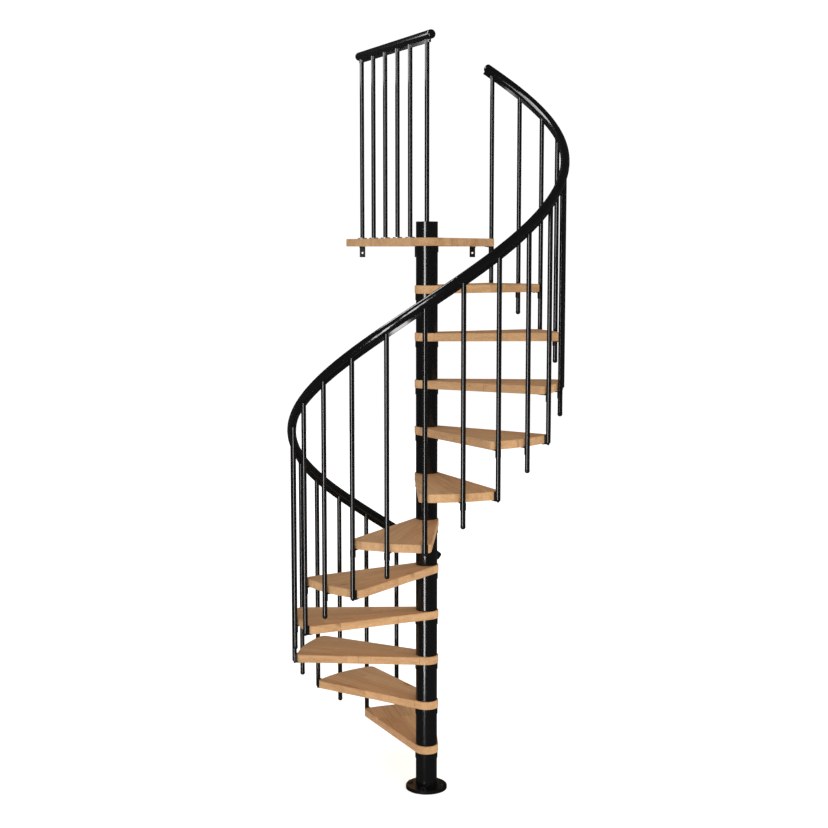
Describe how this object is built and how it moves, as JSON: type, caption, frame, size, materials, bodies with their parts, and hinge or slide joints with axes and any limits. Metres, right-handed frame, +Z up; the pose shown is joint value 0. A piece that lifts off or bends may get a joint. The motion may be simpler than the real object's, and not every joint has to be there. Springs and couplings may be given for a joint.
{
  "type": "spiral staircase",
  "caption": "Narrow spiral staircase: steel centre column, wooden wedge treads and landing platform, round balusters, helical handrail and a straight guardrail on the landing.",
  "frame": {"origin": "centre of the base flange's underside, on the column's axis", "axes": "+Z up along the column, +Y from the column towards the wall that the landing is fixed to, +X to the right seen from the open side; the stair climbs counter-clockwise seen from above"},
  "size_m": [1.3078, 1.4238, 3.5779],
  "materials": {
    "coated_steel": "gloss black powder coat",
    "rail_black": "semi-gloss black powder coat",
    "fitting_black": "satin black powder coat",
    "satin_steel": "brushed satin steel",
    "oak": "satin lacquered oak, glued staves"
  },
  "bodies": {
    "root": {"base_flange": "coated_steel", "core_rod": "coated_steel", "column_spacer_01": "coated_steel", "column_spacer_02": "coated_steel", "column_spacer_03": "coated_steel", "column_spacer_04": "coated_steel", "column_spacer_05": "coated_steel", "column_spacer_06": "coated_steel", "column_spacer_07": "coated_steel", "column_spacer_08": "coated_steel", "column_spacer_09": "coated_steel", "column_spacer_10": "coated_steel", "column_spacer_11": "coated_steel", "column_spacer_12": "coated_steel", "column_top": "coated_steel", "joint_balusters": "coated_steel", "middle_balusters": "coated_steel", "guard_balusters": "coated_steel", "handrail": "rail_black", "handrail_strip": "rail_black", "guard_rail": "rail_black", "guard_strip": "rail_black", "rail_end_caps": "rail_black", "nosing_saddles": "fitting_black", "middle_saddles": "fitting_black", "foot_brackets": "fitting_black", "wall_brackets": "fitting_black", "baluster_feet": "satin_steel", "tread_01": "oak", "tread_02": "oak", "tread_03": "oak", "tread_04": "oak", "tread_05": "oak", "tread_06": "oak", "tread_07": "oak", "tread_08": "oak", "tread_09": "oak", "tread_10": "oak", "tread_11": "oak", "landing_platform": "oak"}
  },
  "joints": []
}
